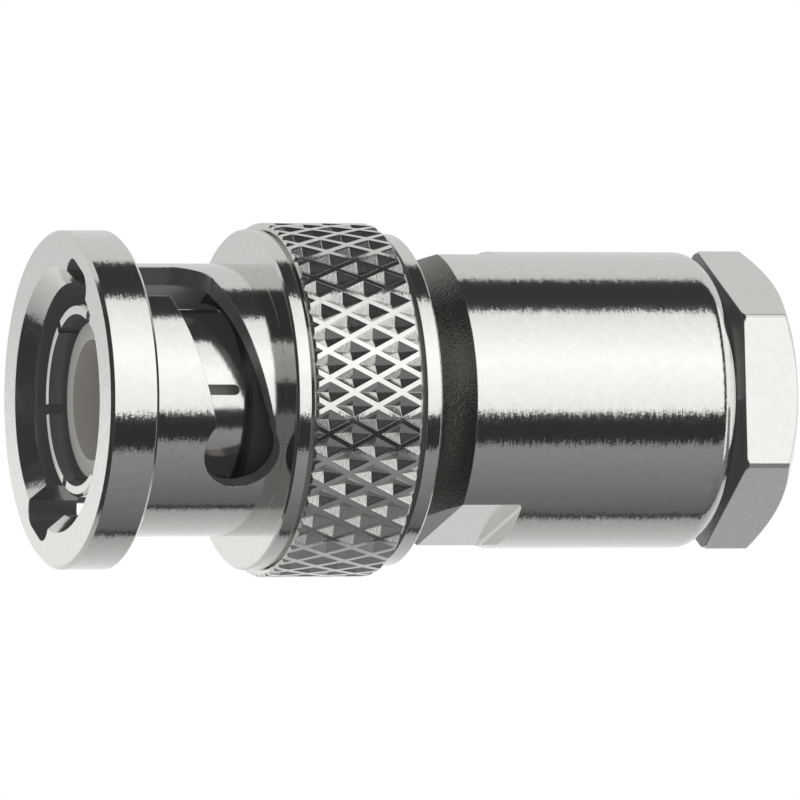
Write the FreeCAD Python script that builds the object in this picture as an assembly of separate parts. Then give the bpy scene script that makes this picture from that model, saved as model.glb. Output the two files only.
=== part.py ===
"""Bayonet coaxial cable plug, clamp type, with a diamond-knurled coupling.

Millimetres. The connector's axis is X. The origin is the centre of the coupling's front face, the
mating end looks toward -X and the cable leaves toward +X. Angles round the axis are measured from
-Y toward +Z.
"""
import FreeCAD, Part
import math
import os
from FreeCAD import Vector

# Clearances between pieces
running_clearance = 0.06    # radial, where the coupling turns on the collar
sliding_clearance = 0.12    # radial, where pieces pass each other without guiding
face_gap = 0.05             # between flat faces that turn or slide against each other
push_clearance = 0.02       # radial, where a piece is pushed into another by hand
overrun = 1.0               # how far a cutter runs past what it cuts

# Bayonet: entry notch, cam slot and detent hole, twice round the coupling
bayonet_count = 2
entry_angle = 63.0
entry_width = 2.70
entry_depth = 1.35          # into the wall, from the coupling's bore
entry_corner = 0.80
entry_overrun = 0.37        # from the end of the channel to the start of the cam
cam_start_turn = 2.5
cam_turn = 75.0
cam_rise = 1.73
cam_width = 2.58
detent_turn = 85.5
detent_x = 6.35
detent_fall = 0.10          # from the end of the cam back to the detent
detent_radius = 1.65
detent_land = 0.15

# Coupling sleeve, inside
jack_space = 0.84           # between the outer contact and the coupling, for the jack's shell
mouth_chamfer = 0.65
shoulder_height = 1.20
shoulder_thickness = 1.15
coupling_travel = 0.60

# Coupling sleeve, outside; a wall is measured from the cavity, or from the bore on the thin tube
tube_wall = 0.82
flange_height = 1.38
flange_length = 2.14
flange_edge = 0.15
front_ring_wall = 1.05
front_ring_length = 0.63
front_groove_wall = 0.90
front_groove_width = 0.12
knurl_wall = 1.33
knurl_length = 4.72
knurl_edge = 0.10
rear_groove_wall = 0.65
rear_groove_width = 0.36
rear_ring_wall = 0.88
rear_ring_length = 0.69
ring_edge = 0.10

# Diamond knurl: pits left between two crossed sets of ridges
knurl_count = 40
knurl_axial_pitch = 2.11
knurl_ridge_width = 0.20
knurl_depth = 0.27
knurl_first_row = 0.60      # from the knurl's front edge to the middle of the first full row
knurl_angle = 2.5

# Outer contact
finger_radius = 4.06
finger_wall = 0.46
finger_length = 7.28
finger_tip_edge = 0.12
finger_count = 6
slit_width = 0.42
slit_length = 5.84
slit_angle = 6.0
base_length = 1.23
collar_thickness = 1.50
neck_wall = 0.80
neck_grip = 3.80            # length of neck inside the body shell

# Mating gasket
gasket_seat_depth = 0.18
gasket_thickness = 1.05
gasket_edge = 0.15

# Front insulator
insulator_setback = 0.71
insulator_nose_gap = 0.32
insulator_nose_wall = 0.75
insulator_nose_length = 5.85
insulator_recess_depth = 4.65
insulator_body_step = 0.15
insulator_body_length = 3.50
insulator_flange_height = 0.45
insulator_flange_thickness = 1.10

# Centre pin
pin_radius = 0.675
pin_setback = 0.75
pin_land_radius = 0.90
pot_radius = 1.15
pot_length = 5.00
pot_bore_radius = 0.50
pot_bore_depth = 3.60
pot_window_radius = 0.35
pot_window_setback = 2.50

# Spring pack in the coupling
wave_thickness = 0.25
wave_reserve = 0.25         # height left in the waves when the coupling is right forward
wave_count = 3
wave_rim_gap = 0.25
thrust_thickness = 0.45
retainer_thickness = 0.70
retainer_groove_depth = 0.35
retainer_neck_gap = 0.40
retainer_gap_angle = 24.0

# Body shell
nose_gap = 0.35             # behind the retaining ring
nose_wall = 0.60
nose_length = 1.20
cone_half_angle = 30.0
thread_radius = 5.02
thread_relief = 0.20
thread_depth = 0.46
shell_wall = 1.23
shell_length = 14.60
shell_round_length = 0.85
shell_round_drop = 0.50
flat_across = 11.0
flat_angle = -73.0
flat_length = 2.50          # behind the cone
flat_corner_radius = 0.15   # in the corner at the end of the flat
seat_thickness = 1.00

# Braid clamp, gasket and washer behind the seat
clamp_flange_thickness = 0.90
clamp_nose_length = 1.70
clamp_nose_radius = 2.90
clamp_hole_radius = 1.85
clamp_ridge_height = 0.65
clamp_ridge_half_width = 0.50
bush_gap = 0.20
cable_gasket_length = 3.05
cable_radius = 2.475
cable_clearance = 0.175
slip_washer_thickness = 0.45
slip_washer_clearance = 0.40

# Clamp nut
nut_gap = 0.48              # between the body and the hexagon, with the cable gasket tight
nut_across = 11.0
nut_length = 2.40
nut_corner_cut = 0.05       # turned off the hexagon's corners
nut_front_chamfer = 0.12
nut_rear_chamfer = 0.85     # radial
nut_rear_chamfer_angle = 29.0   # from the end face
nut_angle = 4.0
nut_bore_edge = 0.30

# Radii that follow from the sizes above
coupling_bore_radius = finger_radius + jack_space
tube_radius = coupling_bore_radius + tube_wall
flange_radius = tube_radius + flange_height
mouth_radius = coupling_bore_radius + mouth_chamfer
entry_radius = coupling_bore_radius + entry_depth
cavity_radius = coupling_bore_radius + shoulder_height
knurl_radius = cavity_radius + knurl_wall
retainer_groove_radius = cavity_radius + retainer_groove_depth
base_radius = coupling_bore_radius - sliding_clearance
collar_radius = cavity_radius - running_clearance
finger_bore_radius = finger_radius - finger_wall
gasket_seat_radius = finger_radius - gasket_seat_depth
insulator_nose_radius = finger_bore_radius - insulator_nose_gap
insulator_recess_radius = insulator_nose_radius - insulator_nose_wall
insulator_body_radius = finger_bore_radius - insulator_body_step
insulator_rear_radius = insulator_body_radius + insulator_flange_height
neck_radius = insulator_rear_radius + neck_wall
nose_radius = neck_radius + nose_wall
shell_radius = thread_radius + shell_wall
stem_radius = thread_radius - running_clearance - thread_depth
clamp_bore_radius = stem_radius + push_clearance
cable_hole_radius = cable_radius + push_clearance
clamp_ridge_radius = (cable_hole_radius + clamp_bore_radius) / 2
slip_washer_bore_radius = cable_radius + slip_washer_clearance
nut_bore_radius = cable_radius + cable_clearance
nut_corner_radius = nut_across / math.sqrt(3)
nut_turned_radius = nut_corner_radius - nut_corner_cut

# Places along the axis that follow, from the coupling's front face back
cam_end_x = detent_x + detent_fall
cam_start_x = cam_end_x - cam_rise
entry_end_x = cam_start_x - entry_overrun
shoulder_x = detent_x + detent_radius + detent_land
front_groove_x = shoulder_x + front_ring_length
knurl_start_x = front_groove_x + front_groove_width
knurl_end_x = knurl_start_x + knurl_length
rear_ring_x = knurl_end_x + rear_groove_width
sleeve_end_x = rear_ring_x + rear_ring_length
cavity_x = shoulder_x + shoulder_thickness
collar_x = cavity_x + face_gap
collar_end_x = collar_x + collar_thickness
wave_height = wave_thickness + coupling_travel + wave_reserve
wave_x = collar_end_x + face_gap
thrust_x = wave_x + wave_height + face_gap
retainer_x = thrust_x + thrust_thickness + face_gap
retainer_end_x = retainer_x + retainer_thickness
gasket_end_x = collar_x - base_length
gasket_front_x = gasket_end_x - gasket_thickness
finger_tip_x = gasket_end_x - finger_length
slit_root_x = finger_tip_x + slit_length
insulator_front_x = finger_tip_x + insulator_setback
insulator_recess_end_x = insulator_front_x + insulator_recess_depth
insulator_step_x = insulator_front_x + insulator_nose_length
insulator_flange_x = insulator_step_x + insulator_body_length
insulator_end_x = insulator_flange_x + insulator_flange_thickness
pin_tip_x = insulator_front_x + pin_setback
pot_end_x = insulator_end_x + pot_length
nose_x = retainer_end_x + nose_gap
neck_end_x = nose_x + neck_grip
cone_start_x = nose_x + nose_length
cone_end_x = cone_start_x + (shell_radius - nose_radius) / math.tan(math.radians(cone_half_angle))
flat_end_x = cone_end_x + flat_length
shell_end_x = nose_x + shell_length
seat_end_x = neck_end_x + seat_thickness
bush_end_x = seat_end_x - clamp_nose_length - bush_gap
clamp_flange_end_x = seat_end_x + clamp_flange_thickness
cable_gasket_end_x = clamp_flange_end_x + cable_gasket_length
slip_washer_x = cable_gasket_end_x + face_gap
slip_washer_end_x = slip_washer_x + slip_washer_thickness
stem_x = slip_washer_end_x + face_gap
thread_start_x = stem_x - thread_relief
nut_x = shell_end_x + nut_gap
nut_end_x = nut_x + nut_length

axis = Vector(1, 0, 0)
centre = Vector(0, 0, 0)


def outward(angle):
    """Unit vector away from the axis, at an angle in degrees from -Y toward +Z."""
    turn = math.radians(angle)
    return Vector(0, -math.cos(turn), math.sin(turn))


def sideways(angle):
    """Unit vector round the axis at that angle."""
    return outward(angle + 90)


def on_cylinder(x, radius, angle):
    return Vector(x, 0, 0) + outward(angle) * radius


def turned(points):
    """Solid of revolution from a closed outline of (x, radius) points."""
    corners = [on_cylinder(x, radius, 180) for x, radius in points]
    outline = Part.makePolygon(corners + [corners[0]])
    return Part.Face(outline).revolve(centre, axis, 360)


def turned_edges(edges):
    """Solid of revolution from edges that close an outline in the plane at 180 degrees."""
    outline = Part.Wire(Part.__sortEdges__(edges))
    return Part.Face(outline).revolve(centre, axis, 360)


def tube(start_x, end_x, inner_radius, outer_radius):
    return turned([
        (start_x, inner_radius),
        (end_x, inner_radius),
        (end_x, outer_radius),
        (start_x, outer_radius),
    ])


def rod(start_x, end_x, radius):
    return Part.makeCylinder(radius, end_x - start_x, Vector(start_x, 0, 0), axis)


def radial_drill(x, angle, radius, inner_radius, outer_radius):
    foot = on_cylinder(x, inner_radius, angle)
    return Part.makeCylinder(radius, outer_radius - inner_radius, foot, outward(angle))


def turned_copies(shape, count, first_angle=0.0):
    """Copies of a shape spaced evenly round the axis."""
    copies = []
    for index in range(count):
        copy = shape.copy()
        copy.rotate(centre, axis * -1, first_angle + index * 360 / count)
        copies.append(copy)
    return copies


def one_solid(shape):
    cleaned = shape.removeSplitter()
    assert len(cleaned.Solids) == 1, "a piece fell apart or vanished"
    return cleaned.Solids[0]


def sleeve_blank():
    """The coupling as it leaves the lathe, before the slots and the knurl."""
    front_ring_radius = cavity_radius + front_ring_wall
    front_groove_radius = cavity_radius + front_groove_wall
    rear_groove_radius = cavity_radius + rear_groove_wall
    rear_ring_radius = cavity_radius + rear_ring_wall
    groove_start = retainer_x - face_gap
    groove_end = retainer_end_x + face_gap
    return turned([
        (0, mouth_radius),
        (0, flange_radius - flange_edge),
        (flange_edge, flange_radius),
        (flange_length - flange_edge, flange_radius),
        (flange_length, flange_radius - flange_edge),
        (flange_length, tube_radius),
        (shoulder_x, tube_radius),
        (shoulder_x, front_ring_radius - ring_edge),
        (shoulder_x + ring_edge, front_ring_radius),
        (front_groove_x, front_ring_radius),
        (front_groove_x, front_groove_radius),
        (knurl_start_x, front_groove_radius),
        (knurl_start_x, knurl_radius - knurl_edge),
        (knurl_start_x + knurl_edge, knurl_radius),
        (knurl_end_x - knurl_edge, knurl_radius),
        (knurl_end_x, knurl_radius - knurl_edge),
        (knurl_end_x, rear_groove_radius),
        (rear_ring_x, rear_groove_radius),
        (rear_ring_x, rear_ring_radius),
        (sleeve_end_x - ring_edge, rear_ring_radius),
        (sleeve_end_x, rear_ring_radius - ring_edge),
        (sleeve_end_x, cavity_radius),
        (groove_end, cavity_radius),
        (groove_end, retainer_groove_radius),
        (groove_start, retainer_groove_radius),
        (groove_start, cavity_radius),
        (cavity_x, cavity_radius),
        (cavity_x, coupling_bore_radius),
        (mouth_chamfer, coupling_bore_radius),
    ])


def knurl_pits():
    """Inverted pyramids in alternate rows, which leave the two sets of ridges between them."""
    round_pitch = 2 * math.pi * knurl_radius / knurl_count
    ridge_slope = math.atan2(round_pitch, knurl_axial_pitch)
    cell_half_width = knurl_axial_pitch / 2 * math.sin(ridge_slope)
    share = (cell_half_width - knurl_ridge_width / 2) / cell_half_width
    apex_radius = knurl_radius - knurl_depth
    top_radius = knurl_radius + knurl_depth
    growth = (top_radius - apex_radius) / knurl_depth
    half_long = knurl_axial_pitch / 2 * share * growth
    half_round = round_pitch / 2 * share * growth
    row_pitch = knurl_axial_pitch / 2
    rows = range(-1, math.ceil((knurl_length - knurl_first_row) / row_pitch) + 1)
    pits = []
    for row in rows:
        x = knurl_start_x + knurl_first_row + row * row_pitch
        top = on_cylinder(x, top_radius, 0)
        corners = [
            top + axis * half_long,
            top + sideways(0) * half_round,
            top - axis * half_long,
            top - sideways(0) * half_round,
        ]
        apex = on_cylinder(x, apex_radius, 0)
        sides = [
            Part.Face(Part.makePolygon([corners[i], corners[(i + 1) % 4], apex, corners[i]]))
            for i in range(4)
        ]
        lid = Part.Face(Part.makePolygon(corners + [corners[0]]))
        pit = Part.makeSolid(Part.makeShell(sides + [lid]))
        offset = 180 / knurl_count if row % 2 else 0
        pits += turned_copies(pit, knurl_count, knurl_angle + offset)
    return pits


def entry_channel():
    """Straight channel from the mouth, blind under the flange and open through the thin tube."""
    out, side = outward(entry_angle), sideways(entry_angle)
    half = entry_width / 2
    inner = coupling_bore_radius - overrun
    bend = entry_corner * (1 - math.sqrt(0.5))

    def place(away, across):
        return axis * -overrun + out * away + side * across

    edges = [
        Part.makeLine(place(inner, -half), place(inner, half)),
        Part.makeLine(place(inner, half), place(entry_radius - entry_corner, half)),
        Part.Arc(
            place(entry_radius - entry_corner, half),
            place(entry_radius - bend, half - bend),
            place(entry_radius, half - entry_corner),
        ).toShape(),
        Part.makeLine(place(entry_radius, half - entry_corner), place(entry_radius, entry_corner - half)),
        Part.Arc(
            place(entry_radius, entry_corner - half),
            place(entry_radius - bend, bend - half),
            place(entry_radius - entry_corner, -half),
        ).toShape(),
        Part.makeLine(place(entry_radius - entry_corner, -half), place(inner, -half)),
    ]
    outline = Part.Wire(edges)
    return Part.Face(outline).extrude(axis * (entry_end_x + overrun))


def cam_slot():
    """Slot that climbs evenly round the coupling, a little past the detent."""
    inner, outer = coupling_bore_radius - overrun, tube_radius + overrun
    first = entry_angle - cam_start_turn
    last = entry_angle - cam_turn
    steps = 12

    def rail(side, radius):
        points = []
        for step in range(steps + 1):
            share = step / steps
            angle = first + (last - first) * share
            x = cam_start_x + cam_rise * share
            points.append(on_cylinder(x + side * cam_width / 2, radius, angle))
        curve = Part.BSplineCurve()
        curve.interpolate(points)
        return curve.toShape()

    front_in, front_out = rail(-1, inner), rail(-1, outer)
    rear_in, rear_out = rail(1, inner), rail(1, outer)
    faces = [
        Part.makeRuledSurface(front_in, front_out),
        Part.makeRuledSurface(rear_in, rear_out),
        Part.makeRuledSurface(front_in, rear_in),
        Part.makeRuledSurface(front_out, rear_out),
    ]
    for end in (0, -1):
        corners = [edge.Vertexes[end].Point for edge in (front_in, front_out, rear_out, rear_in)]
        faces.append(Part.Face(Part.makePolygon(corners + [corners[0]])))
    shell = Part.makeShell(faces)
    shell.sewShape()
    return Part.makeSolid(shell)


def bayonet_cutters():
    """The channel, the cam slot with its two round ends, and the detent hole, for one lug."""
    inner, outer = coupling_bore_radius - overrun, tube_radius + overrun
    return [
        entry_channel(),
        radial_drill(entry_end_x, entry_angle, entry_width / 2, inner, outer),
        radial_drill(cam_start_x, entry_angle - cam_start_turn, cam_width / 2, inner, outer),
        cam_slot(),
        radial_drill(cam_end_x, entry_angle - cam_turn, cam_width / 2, inner, outer),
        radial_drill(detent_x, entry_angle - detent_turn, detent_radius, inner, outer),
    ]


def coupling_sleeve():
    sleeve = sleeve_blank()
    for cutter in bayonet_cutters():
        sleeve = sleeve.cut(turned_copies(cutter, bayonet_count))
    return one_solid(sleeve.cut(knurl_pits()))


def outer_contact():
    """Fingers, base inside the coupling's bore, collar in its cavity, and the neck that carries the shell."""
    blank = turned([
        (finger_tip_x, finger_bore_radius),
        (finger_tip_x, finger_radius - finger_tip_edge),
        (finger_tip_x + finger_tip_edge, finger_radius),
        (gasket_front_x, finger_radius),
        (gasket_front_x, gasket_seat_radius),
        (gasket_end_x, gasket_seat_radius),
        (gasket_end_x, base_radius),
        (collar_x, base_radius),
        (collar_x, collar_radius),
        (collar_end_x, collar_radius),
        (collar_end_x, neck_radius),
        (neck_end_x, neck_radius),
        (neck_end_x, insulator_rear_radius),
        (insulator_flange_x, insulator_rear_radius),
        (insulator_flange_x, insulator_body_radius),
        (insulator_step_x, insulator_body_radius),
        (insulator_step_x, finger_bore_radius),
    ])
    inner, outer = finger_bore_radius - overrun, finger_radius + overrun
    round_x = slit_root_x - slit_width / 2
    corner = on_cylinder(finger_tip_x - overrun, outer, 0) - sideways(0) * (slit_width / 2)
    slit = Part.makeBox(round_x - finger_tip_x + overrun, outer - inner, slit_width, corner)
    slit_round = radial_drill(round_x, 0, slit_width / 2, inner, outer)
    contact = blank.cut(turned_copies(slit, finger_count, slit_angle))
    contact = contact.cut(turned_copies(slit_round, finger_count, slit_angle))
    return one_solid(contact)


def mating_gasket():
    return turned([
        (gasket_front_x, gasket_seat_radius),
        (gasket_front_x, base_radius - gasket_edge),
        (gasket_front_x + gasket_edge, base_radius),
        (gasket_end_x, base_radius),
        (gasket_end_x, gasket_seat_radius),
    ])


def contact_insulator():
    """Tubular nose round the pin, stepped body, and a rear flange that stops it in the outer contact."""
    return turned([
        (insulator_front_x, insulator_recess_radius),
        (insulator_front_x, insulator_nose_radius),
        (insulator_step_x, insulator_nose_radius),
        (insulator_step_x, insulator_body_radius),
        (insulator_flange_x, insulator_body_radius),
        (insulator_flange_x, insulator_rear_radius),
        (insulator_end_x, insulator_rear_radius),
        (insulator_end_x, pin_land_radius + push_clearance),
        (insulator_recess_end_x, pin_land_radius + push_clearance),
        (insulator_recess_end_x, insulator_recess_radius),
    ])


def centre_pin():
    """Round-nosed pin, a land that sits in the insulator, and the solder pot against its rear face."""
    nose_end = pin_tip_x + pin_radius
    bend = pin_radius * (1 - math.sqrt(0.5))

    def place(x, radius):
        return on_cylinder(x, radius, 180)

    nose = Part.Arc(
        place(pin_tip_x, 0),
        place(pin_tip_x + bend, pin_radius * math.sqrt(0.5)),
        place(nose_end, pin_radius),
    ).toShape()
    corners = [
        (nose_end, pin_radius),
        (insulator_recess_end_x, pin_radius),
        (insulator_recess_end_x, pin_land_radius),
        (insulator_end_x, pin_land_radius),
        (insulator_end_x, pot_radius),
        (pot_end_x, pot_radius),
        (pot_end_x, pot_bore_radius),
        (pot_end_x - pot_bore_depth, pot_bore_radius),
        (pot_end_x - pot_bore_depth, 0),
        (pin_tip_x, 0),
    ]
    lines = [Part.makeLine(place(*a), place(*b)) for a, b in zip(corners, corners[1:])]
    window = radial_drill(pot_end_x - pot_window_setback, 90, pot_window_radius, 0, pot_radius + overrun)
    return one_solid(turned_edges([nose] + lines).cut(window))


def wave_washer():
    """Thin ring bent into waves round the neck."""
    inner, outer = neck_radius + sliding_clearance, cavity_radius - wave_rim_gap
    middle_x = wave_x + wave_height / 2
    swing = (wave_height - wave_thickness) / 2
    steps = 12 * wave_count

    def rim(radius, side):
        points = []
        for step in range(steps):
            angle = 360 * step / steps
            x = middle_x + side * wave_thickness / 2 + swing * math.cos(math.radians(wave_count * angle))
            points.append(on_cylinder(x, radius, angle))
        curve = Part.BSplineCurve()
        curve.interpolate(points, PeriodicFlag=True)
        return curve.toShape()

    front_in, front_out = rim(inner, -1), rim(outer, -1)
    rear_in, rear_out = rim(inner, 1), rim(outer, 1)
    faces = [
        Part.makeRuledSurface(front_in, front_out),
        Part.makeRuledSurface(rear_in, rear_out),
        Part.makeRuledSurface(front_in, rear_in),
        Part.makeRuledSurface(front_out, rear_out),
    ]
    shell = Part.makeShell(faces)
    shell.sewShape()
    return Part.makeSolid(shell)


def thrust_washer():
    return tube(
        thrust_x,
        thrust_x + thrust_thickness,
        neck_radius + sliding_clearance,
        cavity_radius - sliding_clearance,
    )


def retaining_ring():
    """Split ring that snaps into the coupling's inner groove."""
    inner, outer = neck_radius + retainer_neck_gap, retainer_groove_radius - push_clearance
    ring = tube(retainer_x, retainer_end_x, inner, outer)
    gap_width = 2 * inner * math.tan(math.radians(retainer_gap_angle / 2))
    gap = Part.makeBox(
        retainer_thickness + 2 * overrun,
        outer + overrun,
        gap_width,
        Vector(retainer_x - overrun, 0, -gap_width / 2),
    )
    return one_solid(ring.cut(gap))


def rear_insulator():
    return tube(
        insulator_end_x,
        bush_end_x,
        pot_radius + push_clearance,
        insulator_rear_radius - push_clearance,
    )


def wrench_flat():
    """Cutter for one flat, with the rounded corner that the milling cutter leaves."""
    depth = flat_across / 2
    reach = shell_radius + overrun
    start_x = nose_x - overrun
    out, side = outward(0), sideways(0)

    def place(x, away):
        return Vector(x, 0, 0) + out * away - side * reach

    bend = flat_corner_radius * (1 - math.sqrt(0.5))
    run = flat_corner_radius * math.sqrt(0.5)
    edges = [
        Part.makeLine(place(start_x, depth), place(flat_end_x, depth)),
        Part.Arc(
            place(flat_end_x, depth),
            place(flat_end_x + run, depth + bend),
            place(flat_end_x + flat_corner_radius, depth + flat_corner_radius),
        ).toShape(),
        Part.makeLine(
            place(flat_end_x + flat_corner_radius, depth + flat_corner_radius),
            place(flat_end_x + flat_corner_radius, depth + reach),
        ),
        Part.makeLine(place(flat_end_x + flat_corner_radius, depth + reach), place(start_x, depth + reach)),
        Part.makeLine(place(start_x, depth + reach), place(start_x, depth)),
    ]
    return Part.Face(Part.Wire(edges)).extrude(side * (2 * reach))


def body_shell():
    """Cone, cylinder with two flats, and the stepped bore for the neck, the clamp and the thread."""
    round_start_x = shell_end_x - shell_round_length
    shell_end_radius = shell_radius - shell_round_drop

    def place(x, radius):
        return on_cylinder(x, radius, 180)

    # the rear edge is part of a circle that leaves the cylinder without a corner
    round_radius = (shell_round_length ** 2 + shell_round_drop ** 2) / (2 * shell_round_drop)
    half_turn = math.asin(shell_round_length / round_radius) / 2
    middle = place(
        round_start_x + round_radius * math.sin(half_turn),
        shell_radius - round_radius * (1 - math.cos(half_turn)),
    )
    rounded = Part.Arc(
        place(round_start_x, shell_radius),
        middle,
        place(shell_end_x, shell_end_radius),
    ).toShape()
    corners = [
        (shell_end_x, shell_end_radius),
        (shell_end_x, thread_radius),
        (thread_start_x, thread_radius),
        (thread_start_x, clamp_bore_radius),
        (seat_end_x, clamp_bore_radius),
        (seat_end_x, insulator_rear_radius),
        (neck_end_x, insulator_rear_radius),
        (neck_end_x, neck_radius),
        (nose_x, neck_radius),
        (nose_x, nose_radius),
        (cone_start_x, nose_radius),
        (cone_end_x, shell_radius),
        (round_start_x, shell_radius),
    ]
    lines = [Part.makeLine(place(*a), place(*b)) for a, b in zip(corners, corners[1:])]
    blank = turned_edges([rounded] + lines)
    return one_solid(blank.cut(turned_copies(wrench_flat(), 2, flat_angle)))


def braid_clamp():
    """Tapered nose for the folded braid, flange on the seat, and a ridge that bites into the gasket."""
    rim_radius = clamp_bore_radius - push_clearance
    nose_foot_radius = insulator_rear_radius - sliding_clearance
    return turned([
        (seat_end_x - clamp_nose_length, clamp_hole_radius),
        (seat_end_x - clamp_nose_length, clamp_nose_radius),
        (seat_end_x, nose_foot_radius),
        (seat_end_x, rim_radius),
        (clamp_flange_end_x, rim_radius),
        (clamp_flange_end_x, clamp_ridge_radius + clamp_ridge_half_width),
        (clamp_flange_end_x + clamp_ridge_height, clamp_ridge_radius),
        (clamp_flange_end_x, clamp_ridge_radius - clamp_ridge_half_width),
        (clamp_flange_end_x, clamp_hole_radius),
    ])


def cable_gasket():
    """Rubber ring with a V groove that takes the clamp's ridge."""
    return turned([
        (clamp_flange_end_x, cable_hole_radius),
        (clamp_flange_end_x, clamp_ridge_radius - clamp_ridge_half_width),
        (clamp_flange_end_x + clamp_ridge_height, clamp_ridge_radius),
        (clamp_flange_end_x, clamp_ridge_radius + clamp_ridge_half_width),
        (clamp_flange_end_x, clamp_bore_radius - push_clearance),
        (cable_gasket_end_x, clamp_bore_radius - push_clearance),
        (cable_gasket_end_x, cable_hole_radius),
    ])


def slip_washer():
    outer = clamp_bore_radius - running_clearance
    return tube(slip_washer_x, slip_washer_end_x, slip_washer_bore_radius, outer)


def clamp_nut():
    """Hexagon with turned chamfers, and the stem at the root of its thread."""
    corners = [
        on_cylinder(nut_x, nut_corner_radius, nut_angle + 30 + 60 * index)
        for index in range(6)
    ]
    prism = Part.Face(Part.makePolygon(corners + [corners[0]])).extrude(axis * nut_length)
    rear_chamfer_length = nut_rear_chamfer * math.tan(math.radians(nut_rear_chamfer_angle))
    lathe_limit = turned([
        (nut_x, 0),
        (nut_x, nut_turned_radius - nut_front_chamfer),
        (nut_x + nut_front_chamfer, nut_turned_radius),
        (nut_end_x - rear_chamfer_length, nut_turned_radius),
        (nut_end_x, nut_turned_radius - nut_rear_chamfer),
        (nut_end_x, 0),
    ])
    stem = rod(stem_x, nut_x + nut_front_chamfer, stem_radius)
    hole = turned([
        (stem_x - overrun, 0),
        (stem_x - overrun, nut_bore_radius),
        (nut_end_x - nut_bore_edge, nut_bore_radius),
        (nut_end_x + nut_bore_edge, nut_bore_radius + 2 * nut_bore_edge),
        (nut_end_x + nut_bore_edge, 0),
    ])
    return one_solid(prism.common(lathe_limit).fuse(stem).cut(hole))


pieces = {
    "coupling_sleeve": coupling_sleeve,
    "outer_contact": outer_contact,
    "mating_gasket": mating_gasket,
    "contact_insulator": contact_insulator,
    "centre_pin": centre_pin,
    "wave_washer": wave_washer,
    "thrust_washer": thrust_washer,
    "retaining_ring": retaining_ring,
    "rear_insulator": rear_insulator,
    "body_shell": body_shell,
    "braid_clamp": braid_clamp,
    "cable_gasket": cable_gasket,
    "slip_washer": slip_washer,
    "clamp_nut": clamp_nut,
}

os.makedirs("parts", exist_ok=True)
for name, make in pieces.items():
    shape = make()
    assert shape.isValid(), name + " is not a valid solid"
    shape.exportStep(os.path.join("parts", name + ".step"))
    print(name, "volume", round(shape.Volume, 3), "faces", len(shape.Faces))
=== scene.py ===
import bmesh
import bpy
import math
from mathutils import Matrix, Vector


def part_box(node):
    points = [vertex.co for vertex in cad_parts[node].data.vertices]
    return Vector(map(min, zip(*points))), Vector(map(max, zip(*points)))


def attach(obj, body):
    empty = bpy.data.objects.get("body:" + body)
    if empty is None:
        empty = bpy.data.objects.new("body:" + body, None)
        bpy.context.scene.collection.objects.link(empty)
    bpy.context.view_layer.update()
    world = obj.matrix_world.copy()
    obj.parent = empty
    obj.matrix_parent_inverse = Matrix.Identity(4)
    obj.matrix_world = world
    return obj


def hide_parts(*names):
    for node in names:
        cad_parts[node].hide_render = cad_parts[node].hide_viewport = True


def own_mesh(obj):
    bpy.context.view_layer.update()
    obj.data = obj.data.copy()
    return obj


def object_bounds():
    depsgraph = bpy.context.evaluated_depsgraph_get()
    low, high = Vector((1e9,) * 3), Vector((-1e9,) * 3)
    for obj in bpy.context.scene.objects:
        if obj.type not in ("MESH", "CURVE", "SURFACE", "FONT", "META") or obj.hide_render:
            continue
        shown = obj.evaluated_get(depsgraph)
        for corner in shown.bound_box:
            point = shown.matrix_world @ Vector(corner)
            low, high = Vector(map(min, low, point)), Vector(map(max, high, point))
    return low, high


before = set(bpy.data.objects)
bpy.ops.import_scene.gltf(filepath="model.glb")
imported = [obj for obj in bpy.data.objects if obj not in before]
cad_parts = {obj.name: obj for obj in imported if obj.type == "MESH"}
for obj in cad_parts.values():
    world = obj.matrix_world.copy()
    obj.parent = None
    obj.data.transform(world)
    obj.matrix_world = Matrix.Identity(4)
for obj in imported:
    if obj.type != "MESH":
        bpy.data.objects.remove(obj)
cad_low, cad_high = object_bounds()
mm = 0.001

# Outer contact: the sprung, slotted tube that slides into the jack, with the collar and neck that
# carry everything else. Brass, turned in one piece, slit six times from its mouth, nickel plated.
plate_colour = "#E6E5E3"
plate_mottle_colour = "#D9D7D3"
# Bores and what is left as cut take a darker colour: partly their duller finish, partly painted
# shade for the recesses.
cut_and_shade_colour = "#5F5C59"
cut_roughness = 0.30
cut_grain_mm = 0.012
# Painted light: a faint glow on the bores and on what is left as cut, in place of the light that
# many reflections carry into the gaps.
painted_bounce_light = 0.035
edge_samples = 6

# The lines that the tool and the polishing wheel leave are about 0.005 mm wide, and the grain and
# the mottle of the plate are as fine. None of them would show, so all are drawn this coarse.
scratch_width_mm = 0.06
scratch_length_mm = 0.45
grain_size_mm = 0.11
mottle_size_mm = 0.35

# The mottle seldom leaves this range. From one end to the other the polish goes from finest to
# coarsest, as shares of the finish's own roughness.
mottle_low, mottle_high = 0.3, 0.7
finest_polish, coarsest_polish = 0.8, 1.25

# What faces the axis more squarely than this is the wall of a bore.
bore_facing = -0.85


def linear(code):
    """Linear colour from an sRGB hex value."""
    channels = [int(code[start:start + 2], 16) / 255 for start in (1, 3, 5)]
    return [
        channel / 12.92 if channel <= 0.04045 else ((channel + 0.055) / 1.055) ** 2.4
        for channel in channels
    ] + [1.0]


def add_node(owner, kind, settings=None, links=None):
    """A node with its settings and input values, and links from other nodes' sockets."""
    node = owner.node_tree.nodes.new(kind)
    for key, value in (settings or {}).items():
        if isinstance(key, str) and hasattr(node, key):
            setattr(node, key, value)
        else:
            node.inputs[key].default_value = value
    for key, socket in (links or {}).items():
        owner.node_tree.links.new(socket, node.inputs[key])
    return node


def new_material(name):
    """A material with no nodes yet."""
    material = bpy.data.materials.new(name)
    material.use_nodes = True
    material.node_tree.nodes.clear()
    return material


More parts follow.
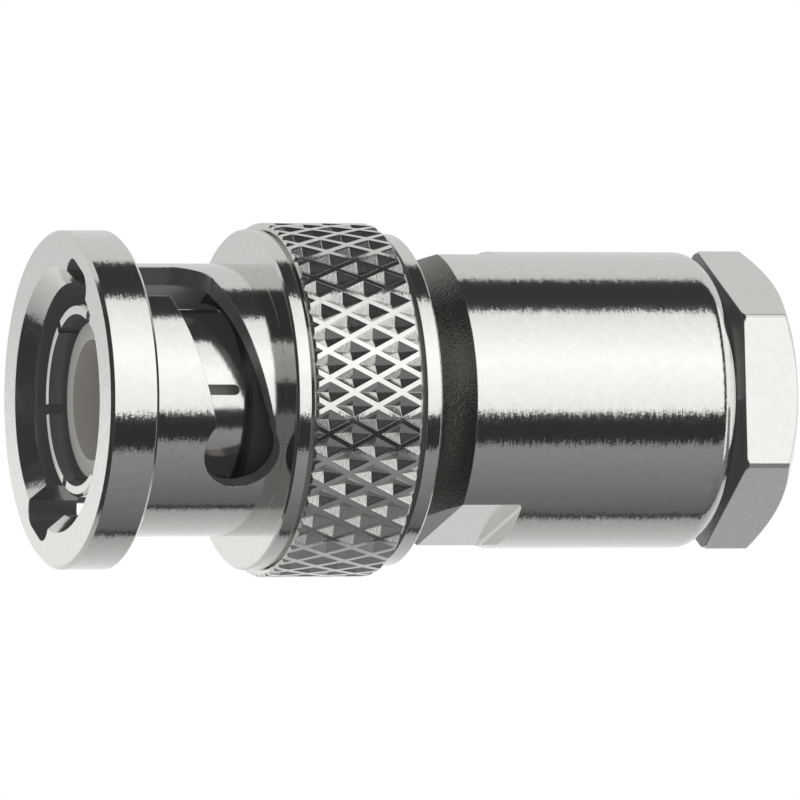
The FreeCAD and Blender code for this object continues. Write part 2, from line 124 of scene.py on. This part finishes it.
def lathe_places(material):
    """The point on the piece in millimetres, its place along the axis and its radius."""
    coordinates = add_node(material, "ShaderNodeTexCoord")
    place = add_node(material, "ShaderNodeVectorMath", {"operation": "SCALE", "Scale": 1 / mm}, {
        0: coordinates.outputs["Object"],
    })
    parts = add_node(material, "ShaderNodeSeparateXYZ", {}, {"Vector": place.outputs["Vector"]})
    across = add_node(material, "ShaderNodeCombineXYZ", {}, {
        "Y": parts.outputs["Y"], "Z": parts.outputs["Z"],
    })
    radius = add_node(material, "ShaderNodeVectorMath", {"operation": "LENGTH"}, {
        0: across.outputs["Vector"],
    })
    return place.outputs["Vector"], parts.outputs["X"], radius.outputs["Value"]


def inside_rings(material, axial, radius, rings):
    """1 inside any of the rings and 0 elsewhere. A ring is its two places along the axis and its
    two radii, in millimetres."""
    inside = None
    for (start, end), (inner, outer) in rings:
        along = add_node(material, "ShaderNodeMath", {
            "operation": "COMPARE", 1: (start + end) / 2, 2: (end - start) / 2,
        }, {0: axial})
        across = add_node(material, "ShaderNodeMath", {
            "operation": "COMPARE", 1: (inner + outer) / 2, 2: (outer - inner) / 2,
        }, {0: radius})
        ring = add_node(material, "ShaderNodeMath", {"operation": "MULTIPLY"}, {
            0: along.outputs["Value"], 1: across.outputs["Value"],
        })
        if inside is not None:
            ring = add_node(material, "ShaderNodeMath", {"operation": "MAXIMUM"}, {
                0: inside, 1: ring.outputs["Value"],
            })
        inside = ring.outputs["Value"]
    return inside


def scratch_pattern(material, place, axial, radius):
    """Short fine lines round the axis, on cylinders and on faces alike."""
    parts = add_node(material, "ShaderNodeSeparateXYZ", {}, {"Vector": place})
    along_cut = add_node(material, "ShaderNodeMath", {"operation": "ADD"}, {0: axial, 1: radius})
    drawn = add_node(material, "ShaderNodeCombineXYZ", {}, {
        "X": along_cut.outputs["Value"], "Y": parts.outputs["Y"], "Z": parts.outputs["Z"],
    })
    drawn = add_node(material, "ShaderNodeVectorMath", {
        "operation": "MULTIPLY",
        1: (1 / scratch_width_mm, 1 / scratch_length_mm, 1 / scratch_length_mm),
    }, {0: drawn.outputs["Vector"]})
    return add_node(material, "ShaderNodeTexNoise", {
        "Scale": 1.0, "Detail": 3.0, "Roughness": 0.6,
    }, {"Vector": drawn.outputs["Vector"]}).outputs["Fac"]


def nickel_plate(
    name, roughness, lean, grain_mm, edge_mm, cut_and_shade_colour, cut_grain_mm, painted_glow_level,
    as_cut_and_shaded=(), matt=(), matt_share=0.0,
):
    """Nickel plate over machined brass: nearly a mirror, and a little warm.

    The lean is how far the scratches turn the surface round the axis, which frays the edge of each
    reflection. The grain is a height, and the edge is the radius that plating and polishing leave on
    every corner. Bores and the rings as_cut_and_shaded aren't polished, so they are rougher and
    coarser, and darker: partly their duller finish, partly painted shade for the recesses. The rings
    matt are only less glossy, by matt_share. On bores and the rings as_cut_and_shaded, a faint
    painted glow of strength painted_glow_level stands in for the light that many reflections carry
    in, more of them than a render follows: it leaves the gaps dark grey, not black."""
    material = new_material(name)
    place, axial, radius = lathe_places(material)
    scratches = scratch_pattern(material, place, axial, radius)
    grain = add_node(material, "ShaderNodeTexNoise", {
        "Scale": 1 / grain_size_mm, "Detail": 2.0, "Roughness": 0.6,
    }, {"Vector": place})
    mottle = add_node(material, "ShaderNodeTexNoise", {
        "Scale": 1 / mottle_size_mm, "Detail": 4.0, "Roughness": 0.65,
    }, {"Vector": place})

    coordinates = add_node(material, "ShaderNodeTexCoord")
    outward = add_node(material, "ShaderNodeVectorMath", {
        "operation": "MULTIPLY", 1: (0, 1, 1),
    }, {0: place})
    outward = add_node(material, "ShaderNodeVectorMath", {"operation": "NORMALIZE"}, {
        0: outward.outputs["Vector"],
    })
    facing_out = add_node(material, "ShaderNodeVectorMath", {"operation": "DOT_PRODUCT"}, {
        0: coordinates.outputs["Normal"], 1: outward.outputs["Vector"],
    })
    # Bores, found by where they face, take the darker colour, which is partly painted shade, and the
    # painted glow.
    cut_and_shade = add_node(material, "ShaderNodeMath", {"operation": "LESS_THAN", 1: bore_facing}, {
        0: facing_out.outputs["Value"],
    })
    if as_cut_and_shaded:
        cut_and_shade = add_node(material, "ShaderNodeMath", {"operation": "MAXIMUM"}, {
            0: cut_and_shade.outputs["Value"], 1: inside_rings(material, axial, radius, as_cut_and_shaded),
        })
    dull = cut_and_shade
    if matt:
        dull = add_node(material, "ShaderNodeMath", {"operation": "MULTIPLY", 1: matt_share}, {
            0: inside_rings(material, axial, radius, matt),
        })
        dull = add_node(material, "ShaderNodeMath", {"operation": "MAXIMUM"}, {
            0: cut_and_shade.outputs["Value"], 1: dull.outputs["Value"],
        })

    colour = add_node(material, "ShaderNodeMix", {
        "data_type": "RGBA", 6: linear(plate_colour), 7: linear(plate_mottle_colour),
    }, {"Factor": mottle.outputs["Fac"]})
    # Painted shade, with the duller finish: the darker colour on bores and the rings
    # as_cut_and_shaded.
    colour = add_node(material, "ShaderNodeMix", {
        "data_type": "RGBA", 7: linear(cut_and_shade_colour),
    }, {"Factor": cut_and_shade.outputs["Value"], 6: colour.outputs[2]})
    polish = add_node(material, "ShaderNodeMapRange", {
        "From Min": mottle_low, "From Max": mottle_high,
        "To Min": roughness * finest_polish, "To Max": roughness * coarsest_polish,
    }, {"Value": mottle.outputs["Fac"]})
    rough = add_node(material, "ShaderNodeMapRange", {"To Max": cut_roughness}, {
        "Value": dull.outputs["Value"], "To Min": polish.outputs["Result"],
    })
    grain_height = add_node(material, "ShaderNodeMapRange", {
        "To Min": grain_mm, "To Max": cut_grain_mm,
    }, {"Value": cut_and_shade.outputs["Value"]})
    grain = add_node(material, "ShaderNodeMath", {"operation": "MULTIPLY"}, {
        0: grain.outputs["Fac"], 1: grain_height.outputs["Result"],
    })

    edge = add_node(material, "ShaderNodeBevel", {"samples": edge_samples, "Radius": edge_mm * mm})
    round_axis = add_node(material, "ShaderNodeVectorMath", {
        "operation": "CROSS_PRODUCT", 0: (1, 0, 0),
    }, {1: outward.outputs["Vector"]})
    round_axis = add_node(material, "ShaderNodeVectorTransform", {
        "vector_type": "VECTOR", "convert_from": "OBJECT", "convert_to": "WORLD",
    }, {"Vector": round_axis.outputs["Vector"]})
    turn = add_node(material, "ShaderNodeMapRange", {"To Min": -lean / 2, "To Max": lean / 2}, {
        "Value": scratches,
    })
    turned = add_node(material, "ShaderNodeVectorMath", {"operation": "SCALE"}, {
        0: round_axis.outputs["Vector"], "Scale": turn.outputs["Result"],
    })
    scratched = add_node(material, "ShaderNodeVectorMath", {"operation": "ADD"}, {
        0: edge.outputs["Normal"], 1: turned.outputs["Vector"],
    })
    scratched = add_node(material, "ShaderNodeVectorMath", {"operation": "NORMALIZE"}, {
        0: scratched.outputs["Vector"],
    })
    grained = add_node(material, "ShaderNodeBump", {"Distance": mm}, {
        "Height": grain.outputs["Value"], "Normal": scratched.outputs["Vector"],
    })
    # Painted light: a faint glow on bores and the rings as_cut_and_shaded.
    painted_glow = add_node(material, "ShaderNodeMath", {"operation": "MULTIPLY", 1: painted_glow_level}, {
        0: cut_and_shade.outputs["Value"],
    })
    shader = add_node(material, "ShaderNodeBsdfPrincipled", {
        "Metallic": 1.0, "Emission Color": (1.0, 1.0, 1.0, 1.0),
    }, {
        "Base Color": colour.outputs[2], "Roughness": rough.outputs["Result"],
        "Normal": grained.outputs["Normal"], "Emission Strength": painted_glow.outputs["Value"],
    })
    add_node(material, "ShaderNodeOutputMaterial", {}, {"Surface": shader.outputs["BSDF"]})
    return material


def finish_node(name, material):
    """Gives a piece of the frame its finish."""
    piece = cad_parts[name]
    piece.data.materials.clear()
    piece.data.materials.append(material)


# Turned and plated, but not buffed afterwards: bright, with fine even lines.
turned_nickel = nickel_plate(
    "nickel_plate_on_turned_brass", roughness=0.13, lean=0.08, grain_mm=0.002, edge_mm=0.05,
    # Its bores get the darker colour, partly painted shade, and the painted glow.
    cut_and_shade_colour=cut_and_shade_colour, cut_grain_mm=cut_grain_mm, painted_glow_level=painted_bounce_light,
)
finish_node("outer_contact", turned_nickel)

# Front insulator: the white tube round the pin, turned from fluoropolymer rod and pushed into the
# contact from behind. It is waxy and slightly translucent, with faint rings from the tool.
# Its off-white is darker than the real white, as painted shade for the shadow inside the contact's
# mouth.
insulator_shaded_colour = "#C9C7C2"
tool_mark_mm = 0.002
light_depth_mm = 0.4


def turned_fluoropolymer(name):
    """Light goes a little way in, which gives it its soft, waxy white."""
    material = new_material(name)
    place, axial, radius = lathe_places(material)
    bump = add_node(material, "ShaderNodeBump", {"Distance": tool_mark_mm * mm}, {
        "Height": scratch_pattern(material, place, axial, radius),
    })
    shader = add_node(material, "ShaderNodeBsdfPrincipled", {
        "Base Color": linear(insulator_shaded_colour), "Roughness": 0.45, "IOR": 1.35,
        "Subsurface Weight": 0.2, "Subsurface Radius": (0.5, 0.5, 0.5),
        "Subsurface Scale": light_depth_mm * mm,
    }, {"Normal": bump.outputs["Normal"]})
    add_node(material, "ShaderNodeOutputMaterial", {}, {"Surface": shader.outputs["BSDF"]})
    return material


white_fluoropolymer = turned_fluoropolymer("fluoropolymer_turned_white")
finish_node("contact_insulator", white_fluoropolymer)

# Centre pin: turned brass with a thin gold plate, round at its tip and hollow at its back, where
# the cable's inner wire is soldered.
gold_colour = "#E8C27A"
pin_mark_mm = 0.001


def gold_plate(name):
    """Bright and warm, with the faint rings of the tool under the plate."""
    material = new_material(name)
    place, axial, radius = lathe_places(material)
    bump = add_node(material, "ShaderNodeBump", {"Distance": pin_mark_mm * mm}, {
        "Height": scratch_pattern(material, place, axial, radius),
    })
    shader = add_node(material, "ShaderNodeBsdfPrincipled", {
        "Base Color": linear(gold_colour), "Metallic": 1.0, "Roughness": 0.18,
    }, {"Normal": bump.outputs["Normal"]})
    add_node(material, "ShaderNodeOutputMaterial", {}, {"Surface": shader.outputs["BSDF"]})
    return material


gold_plated = gold_plate("gold_plate_on_turned_brass")
finish_node("centre_pin", gold_plated)

# Mating gasket: a moulded ring of silicone rubber in a shallow seat at the foot of the fingers. The
# end of the jack presses on it, which keeps water out.
silicone_colour = "#3C3C3A"
pore_size_mm = 0.08
pore_depth_mm = 0.006


def moulded_rubber(name, colour, roughness):
    """Soft and matt, with the pores of the mould. Real ones are finer, and wouldn't show."""
    material = new_material(name)
    place, axial, radius = lathe_places(material)
    pores = add_node(material, "ShaderNodeTexNoise", {
        "Scale": 1 / pore_size_mm, "Detail": 3.0,
    }, {"Vector": place})
    bump = add_node(material, "ShaderNodeBump", {"Distance": pore_depth_mm * mm}, {
        "Height": pores.outputs["Fac"],
    })
    shader = add_node(material, "ShaderNodeBsdfPrincipled", {
        "Base Color": linear(colour), "Roughness": roughness,
    }, {"Normal": bump.outputs["Normal"]})
    add_node(material, "ShaderNodeOutputMaterial", {}, {"Surface": shader.outputs["BSDF"]})
    return material


silicone = moulded_rubber("silicone_rubber_moulded_grey", silicone_colour, roughness=0.5)
finish_node("mating_gasket", silicone)

# Coupling sleeve: the turning part with the flange, the two cam slots and the diamond knurl. Brass,
# turned, milled and knurled with a pair of rolls, then polished and plated. The polishing wheel
# doesn't reach into the notches, the cam slots and the groove behind the knurl.
lip_mm = 0.04
flange_length_mm = 2.14
mouth_radius_mm, notch_radius_mm = 5.55, 6.40
tube_radius_mm = 5.72
knurl_start_mm, knurl_end_mm = 8.90, 13.62
knurl_foot_mm, knurl_radius_mm = 6.93, 7.43
groove_end_mm = 13.98

# The knurl's ridges are polished bright, and the facets of its pits are a little duller.
knurled_nickel = nickel_plate(
    "nickel_plate_polished_and_knurled", roughness=0.10, lean=0.10, grain_mm=0.003, edge_mm=0.03,
    cut_and_shade_colour=cut_and_shade_colour, cut_grain_mm=cut_grain_mm, painted_glow_level=painted_bounce_light,
    # The notches, the bore and the groove are darker partly as unpolished metal and partly as
    # painted shade, and take the painted glow.
    as_cut_and_shaded=[
        ((lip_mm, flange_length_mm), (mouth_radius_mm + lip_mm, notch_radius_mm)),
        ((flange_length_mm, knurl_end_mm), (0, tube_radius_mm - lip_mm)),
        ((knurl_end_mm, groove_end_mm), (0, knurl_foot_mm)),
    ],
    matt=[((knurl_start_mm, knurl_end_mm), (knurl_foot_mm, knurl_radius_mm - lip_mm))],
    matt_share=0.35,
)
finish_node("coupling_sleeve", knurled_nickel)

# Wave washer: a ring punched from spring steel strip and pressed into three waves. It pulls the
# plug home on the bayonet, and flattens as the coupling is pushed forward to lock or unlock.
steel_colour = "#9A9892"
steel_grain_mm = 0.002
wave_count = 3
wave_steps = 120
wave_inner_radius = 4.82 * mm
wave_thickness = 0.25 * mm
wave_edge = 0.03 * mm
sharp_angle = math.radians(35)


def spring_steel(name):
    """Rolled strip: greyer and duller than the plate, with a fine grain and no scratches."""
    material = new_material(name)
    place, axial, radius = lathe_places(material)
    grain = add_node(material, "ShaderNodeTexNoise", {
        "Scale": 1 / grain_size_mm, "Detail": 2.0,
    }, {"Vector": place})
    bump = add_node(material, "ShaderNodeBump", {"Distance": steel_grain_mm * mm}, {
        "Height": grain.outputs["Fac"],
    })
    shader = add_node(material, "ShaderNodeBsdfPrincipled", {
        "Base Color": linear(steel_colour), "Metallic": 1.0, "Roughness": 0.28,
    }, {"Normal": bump.outputs["Normal"]})
    add_node(material, "ShaderNodeOutputMaterial", {}, {"Surface": shader.outputs["BSDF"]})
    return material


def sweep(name, sections, closed):
    """A mesh from equal rings of points, joined one to the next, and to the first if closed."""
    mesh = bpy.data.meshes.new(name)
    build = bmesh.new()
    rings = [[build.verts.new(point) for point in section] for section in sections]
    following_rings = rings[1:] + rings[:1] if closed else rings[1:]
    for ring, following in zip(rings, following_rings):
        for index in range(len(ring)):
            after = (index + 1) % len(ring)
            build.faces.new((ring[index], ring[after], following[after], following[index]))
    if not closed:
        build.faces.new(rings[0])
        build.faces.new(rings[-1])
    bmesh.ops.recalc_face_normals(build, faces=build.faces)
    build.to_mesh(mesh)
    build.free()
    mesh.shade_smooth()
    mesh.set_sharp_from_angle(angle=sharp_angle)
    piece = bpy.data.objects.new(name, mesh)
    bpy.context.scene.collection.objects.link(piece)
    return piece


def wave_section(angle):
    """The strip's rounded section at one place round the washer."""
    low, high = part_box("wave_washer")
    outer_radius = high.z
    swing = (high.x - low.x - wave_thickness) / 2
    middle = (low.x + high.x) / 2 + swing * math.cos(wave_count * angle)
    half = wave_thickness / 2
    outline = [
        (-half, wave_inner_radius + wave_edge), (-half, outer_radius - wave_edge),
        (wave_edge - half, outer_radius), (half - wave_edge, outer_radius),
        (half, outer_radius - wave_edge), (half, wave_inner_radius + wave_edge),
        (half - wave_edge, wave_inner_radius), (wave_edge - half, wave_inner_radius),
    ]
    return [
        (middle + x, -radius * math.cos(angle), radius * math.sin(angle)) for x, radius in outline
    ]


strip_steel = spring_steel("spring_steel_strip")
wave_sections = [wave_section(2 * math.pi * step / wave_steps) for step in range(wave_steps)]
wave_washer = sweep("wave_washer_strip", wave_sections, closed=True)
wave_washer.data.materials.append(strip_steel)
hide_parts("wave_washer")
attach(wave_washer, "connector_body")
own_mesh(wave_washer)

# Thrust washer: a flat washer of plated brass that the wave washer presses on, so that its waves
# don't dig into the retaining ring.
finish_node("thrust_washer", turned_nickel)

# Retaining ring: a split ring of spring steel, sprung into the groove inside the coupling. It
# carries the washers and keeps the coupling on the plug.
finish_node("retaining_ring", strip_steel)

# Rear insulator: a bush turned from the same white fluoropolymer. It lies round the pin's solder
# pot, inside the contact's neck, and keeps the two apart.
finish_node("rear_insulator", white_fluoropolymer)

# Body shell: the rear half, pressed on the contact's neck, with two milled flats for a spanner.
# Turned brass, polished on its cylinder and left as turned on its nose and cone, nickel plated.
unpolished_colour = "#7C7A76"
unpolished_grain_mm = 0.035
nose_and_cone_mm = 2.845
cone_end_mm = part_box("body_shell")[0].x / mm + nose_and_cone_mm
past_plug_mm = 10.0

# The cylinder is buffed round and round, so its reflections have the most frayed edges. The cone is
# grey and grainy, and gets none of the painted glow, because it isn't deep.
body_nickel = nickel_plate(
    "nickel_plate_polished_body", roughness=0.11, lean=0.13, grain_mm=0.003, edge_mm=0.06,
    cut_and_shade_colour=unpolished_colour, cut_grain_mm=unpolished_grain_mm, painted_glow_level=0.0,
    as_cut_and_shaded=[((0, cone_end_mm), (0, past_plug_mm))],
)
finish_node("body_shell", body_nickel)

# Body thread: the fine inside thread in the rear of the body, cut with a right-hand tap before
# the plating, so that it has the same bright finish.
thread_pitch = 0.75 * mm
thread_root_width = 0.60 * mm
thread_crest_width = 0.12 * mm
thread_sunk = 0.02 * mm
thread_steps = 48
fading_turns = 0.25
least_height = 0.02
bore_thread_radius, bore_crest_radius = 5.02 * mm, 4.58 * mm
bore_thread_start, bore_thread_end = 23.2 * mm, 27.8 * mm


def thread_ridge(name, root_radius, crest_radius, start, end):
    """One right-hand helical ridge, which fades out at both ends. Its foot is sunk in the wall."""
    steps = round((end - start) / thread_pitch * thread_steps)
    fade = thread_steps * fading_turns
    foot_radius = root_radius + math.copysign(thread_sunk, root_radius - crest_radius)
    sections = []
    for step in range(steps + 1):
        angle = 2 * math.pi * step / thread_steps
        middle = start + thread_pitch * step / thread_steps
        share = max(least_height, min(1, step / fade, (steps - step) / fade))
        tip_radius = root_radius + (crest_radius - root_radius) * share
        tip_width = thread_root_width + (thread_crest_width - thread_root_width) * share
        outline = [
            (-thread_root_width / 2, foot_radius), (-thread_root_width / 2, root_radius),
            (-tip_width / 2, tip_radius), (tip_width / 2, tip_radius),
            (thread_root_width / 2, root_radius), (thread_root_width / 2, foot_radius),
        ]
        sections.append([
            (middle + x, radius * math.cos(angle), radius * math.sin(angle)) for x, radius in outline
        ])
    return sweep(name, sections, closed=False)


body_thread = thread_ridge(
    "body_thread", bore_thread_radius, bore_crest_radius, bore_thread_start, bore_thread_end,
)
body_thread.data.materials.append(turned_nickel)
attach(body_thread, "connector_body")

# Braid clamp: a turned and plated brass sleeve that slips under the end of the cable's braid. The
# braid is folded back over its taper, and the nut presses both into the body.
finish_node("braid_clamp", turned_nickel)

# Cable gasket: a thick ring of black rubber, squeezed round the cable's jacket when the nut is
# tight. It is moulded in one piece.
black_rubber_colour = "#141414"
black_rubber = moulded_rubber("rubber_moulded_black", black_rubber_colour, roughness=0.6)
finish_node("cable_gasket", black_rubber)

# Slip washer: a flat washer of turned and plated brass that lets the nut turn without twisting
# the gasket.
finish_node("slip_washer", turned_nickel)

# Clamp nut: the hexagonal nut whose hollow stem screws into the body. Turned from brass hexagon
# bar, drilled and threaded, then polished and plated on its six flats. Its front face and its stem
# stay as turned.
hexagon_length_mm = 2.40
hexagon_start_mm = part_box("clamp_nut")[1].x / mm - hexagon_length_mm

# The flats are drawn bar, lightly polished: even and bright, with soft corners.
hexagon_nickel = nickel_plate(
    "nickel_plate_on_hexagon_bar", roughness=0.12, lean=0.05, grain_mm=0.004, edge_mm=0.08,
    cut_and_shade_colour=cut_and_shade_colour, cut_grain_mm=cut_grain_mm, painted_glow_level=painted_bounce_light,
    # The front face and the stem are darker partly as turned metal and partly as painted shade, and
    # take the painted glow.
    as_cut_and_shaded=[((0, hexagon_start_mm + lip_mm), (0, past_plug_mm))],
)
finish_node("clamp_nut", hexagon_nickel)

# Nut thread: the outside thread cut on the nut's stem with a right-hand die, then plated with it.
# Its ridge runs midway between the turns of the body's thread.
stem_root_radius, stem_crest_radius = 4.50 * mm, 4.94 * mm
stem_turns = 6.5
stem_thread_start = bore_thread_start + thread_pitch / 2
stem_thread_end = stem_thread_start + stem_turns * thread_pitch

nut_thread = thread_ridge(
    "nut_thread", stem_root_radius, stem_crest_radius, stem_thread_start, stem_thread_end,
)
nut_thread.data.materials.append(turned_nickel)
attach(nut_thread, "nut")

# Studio: a pale paper floor under the plug, one large soft lamp to the right of the camera and
# above it, and white, grey and black cards that curve round the plug, which only the metal sees.
plug_middle = (cad_low + cad_high) / 2
card_distance = 0.30
card_steps = 24
lamp_left, lamp_right = 0.02, 0.21
lamp_bottom, lamp_top = -10, 73
overhead = 107
black = (0.045, 0.045)


def hang_card(name, angles, edges, levels):
    """A curved card parallel to the plug. Its angles are round the plug's axis, from the camera's
    side upward, in degrees. Its edges are along the axis from the plug's middle, in metres. Its
    levels are how bright it is at the two angles, where 1 is white paper."""
    mesh = bpy.data.meshes.new(name)
    build = bmesh.new()
    shade = build.loops.layers.uv.new("across")
    rows = []
    for step in range(card_steps + 1):
        turn = math.radians(angles[0] + (angles[1] - angles[0]) * step / card_steps)
        y, z = -card_distance * math.cos(turn), card_distance * math.sin(turn)
        rows.append([build.verts.new((x + plug_middle.x, y, z)) for x in edges])
    for step in range(card_steps):
        left, right = rows[step]
        far_left, far_right = rows[step + 1]
        face = build.faces.new((left, right, far_right, far_left))
        for loop in face.loops:
            on_far_edge = loop.vert in (far_left, far_right)
            loop[shade].uv = (0.0, (step + on_far_edge) / card_steps)
    build.to_mesh(mesh)
    build.free()
    material = new_material(name + "_paper")
    across = add_node(material, "ShaderNodeUVMap", {"uv_map": "across"})
    parts = add_node(material, "ShaderNodeSeparateXYZ", {}, {"Vector": across.outputs["UV"]})
    level = add_node(material, "ShaderNodeMapRange", {"To Min": levels[0], "To Max": levels[1]}, {
        "Value": parts.outputs["Y"],
    })
    light = add_node(material, "ShaderNodeEmission", {}, {"Strength": level.outputs["Result"]})
    add_node(material, "ShaderNodeOutputMaterial", {}, {"Surface": light.outputs["Emission"]})
    material.cycles.emission_sampling = "NONE"
    mesh.materials.append(material)
    piece = bpy.data.objects.new(name, mesh)
    bpy.context.scene.collection.objects.link(piece)
    piece.visible_camera = False
    piece.visible_diffuse = False
    piece.visible_shadow = False
    piece.visible_transmission = False


# Each card's name, angles, edges and levels.
cards = [
    ("card_overhead", (lamp_top, overhead), (lamp_left, 0.33), black),
    ("card_back_top", (overhead, 180), (-0.9, 0.5), (0.73, 0.73)),
    ("card_below_lens", (-34, lamp_bottom), (lamp_left, 0.33), (0.035, 0.035)),
    ("card_table", (-100, -34), (lamp_left, 0.33), (0.14, 0.32)),
    ("card_right_low", (-60, lamp_bottom), (0.33, 0.46), (1.1, 1.1)),
    ("card_right_lowest", (-100, -60), (0.33, 0.46), (0.25, 0.25)),
    ("card_far_right_low", (-100, lamp_bottom), (0.46, 0.9), (0.2, 0.2)),
    ("card_table_edge", (-105, -100), (lamp_left, 0.9), (0.03, 0.03)),
    ("card_back_low", (-180, -105), (-0.9, 0.5), (1.0, 0.41)),
    ("card_far_left", (-105, overhead), (-1.2, -0.40), black),
    ("card_left_lowest", (-105, lamp_bottom), (-0.40, -0.14), black),
    ("card_left_low", (-105, lamp_bottom), (-0.14, lamp_left), (0.2, 0.2)),
    ("card_left_below_strip", (lamp_bottom, 16), (-0.40, lamp_left), black),
    ("card_left_strip", (16, 50), (-0.40, -0.095), (0.45, 0.65)),
    ("card_left_beside_strip", (16, 50), (-0.095, lamp_left), black),
    ("card_left_high", (50, overhead), (-0.40, lamp_left), black),
    ("lamp_cloth_low", (lamp_bottom, 31), (lamp_left, lamp_right), (1.1, 1.35)),
    ("lamp_cloth_high", (31, lamp_top), (lamp_left, lamp_right), (1.35, 0.98)),
    ("card_beside_lamp", (lamp_bottom, lamp_top), (lamp_right, 0.33), black),
    ("card_right", (lamp_bottom, overhead), (0.33, 0.9), (1.1, 1.1)),
    ("card_far_right", (overhead, 253), (0.5, 1.2), black),
]
for name, angles, edges, levels in cards:
    hang_card(name, angles, edges, levels)

# The lamp itself lights the dull surfaces, and its two cloths are what the metal sees of it.
lamp_distance = 0.29
lamp_level = 1.12
lamp_turn = math.radians((lamp_bottom + lamp_top) / 2)
toward_lamp = Vector((0, -math.cos(lamp_turn), math.sin(lamp_turn)))
lamp_x = plug_middle.x + (lamp_left + lamp_right) / 2
lamp_data = bpy.data.lights.new("softbox", "AREA")
lamp_data.shape = "RECTANGLE"
lamp_data.size = lamp_right - lamp_left
lamp_data.size_y = 2 * lamp_distance * math.tan(math.radians((lamp_top - lamp_bottom) / 2))
lamp_data.energy = lamp_level * math.pi * lamp_data.size * lamp_data.size_y
lamp = bpy.data.objects.new("softbox", lamp_data)
bpy.context.scene.collection.objects.link(lamp)
lamp.visible_glossy = False
lamp.location = toward_lamp * lamp_distance + Vector((lamp_x, 0, 0))
lamp.rotation_mode = "QUATERNION"
lamp.rotation_quaternion = toward_lamp.to_track_quat("Z", "Y")

# White paper: the camera sees it a little lighter than it is lit, so that it meets the backdrop.
floor_colour = "#F4F4F3"
floor_drop = 0.020
half_floor = 0.45
floor_glow = 0.38
floor_z = cad_low.z - floor_drop
floor_corners = ((-1, -1), (1, -1), (1, 1), (-1, 1))
floor_mesh = bpy.data.meshes.new("floor")
floor_mesh.from_pydata(
    [(plug_middle.x + x * half_floor, y * half_floor, floor_z) for x, y in floor_corners],
    [], [(0, 1, 2, 3)],
)
floor = bpy.data.objects.new("floor", floor_mesh)
bpy.context.scene.collection.objects.link(floor)
paper = new_material("white_paper_floor")
paper_rays = add_node(paper, "ShaderNodeLightPath")
paper_glow = add_node(paper, "ShaderNodeMapRange", {"To Max": floor_glow}, {
    "Value": paper_rays.outputs["Is Camera Ray"],
})
paper_shader = add_node(paper, "ShaderNodeBsdfPrincipled", {
    "Base Color": linear(floor_colour), "Roughness": 0.9, "Emission Color": (1, 1, 1, 1),
}, {"Emission Strength": paper_glow.outputs["Result"]})
add_node(paper, "ShaderNodeOutputMaterial", {}, {"Surface": paper_shader.outputs["BSDF"]})
floor_mesh.materials.append(paper)
floor.visible_glossy = False

# The backdrop is white to the camera and in the metal, and gives a plain level of soft light.
room_level, backdrop_level = 0.6, 1.0
world = bpy.data.worlds.new("white_studio")
bpy.context.scene.world = world
world.use_nodes = True
world.node_tree.nodes.clear()
rays = add_node(world, "ShaderNodeLightPath")
seen = add_node(world, "ShaderNodeMath", {"operation": "MAXIMUM"}, {
    0: rays.outputs["Is Camera Ray"], 1: rays.outputs["Is Glossy Ray"],
})
seen = add_node(world, "ShaderNodeMath", {"operation": "MAXIMUM"}, {
    0: seen.outputs["Value"], 1: rays.outputs["Is Transmission Ray"],
})
level = add_node(world, "ShaderNodeMapRange", {"To Min": room_level, "To Max": backdrop_level}, {
    "Value": seen.outputs["Value"],
})
backdrop = add_node(world, "ShaderNodeBackground", {"Color": (1, 1, 1, 1)}, {
    "Strength": level.outputs["Result"],
})
add_node(world, "ShaderNodeOutputWorld", {}, {"Surface": backdrop.outputs["Background"]})

# Camera: a long lens level with the plug's axis, turned toward its mouth, with the plug from edge
# to edge of the frame.
camera_distance = 0.80
view_width = 33.66 * mm
view_turn = math.radians(19.7)
aim = Vector((15.23 * mm, 0, 0))
backward = Vector((-math.sin(view_turn), -math.cos(view_turn), 0))
camera_data = bpy.data.cameras.new("camera")
camera_data.sensor_width = 36.0
camera_data.lens = camera_data.sensor_width * camera_distance / view_width
camera_data.clip_start = 0.01
camera_data.clip_end = 10.0
camera = bpy.data.objects.new("camera", camera_data)
bpy.context.scene.collection.objects.link(camera)
bpy.context.scene.camera = camera
camera.location = aim + backward * camera_distance
camera.rotation_mode = "QUATERNION"
camera.rotation_quaternion = backward.to_track_quat("Z", "Y")
bpy.context.scene.view_settings.view_transform = "Standard"
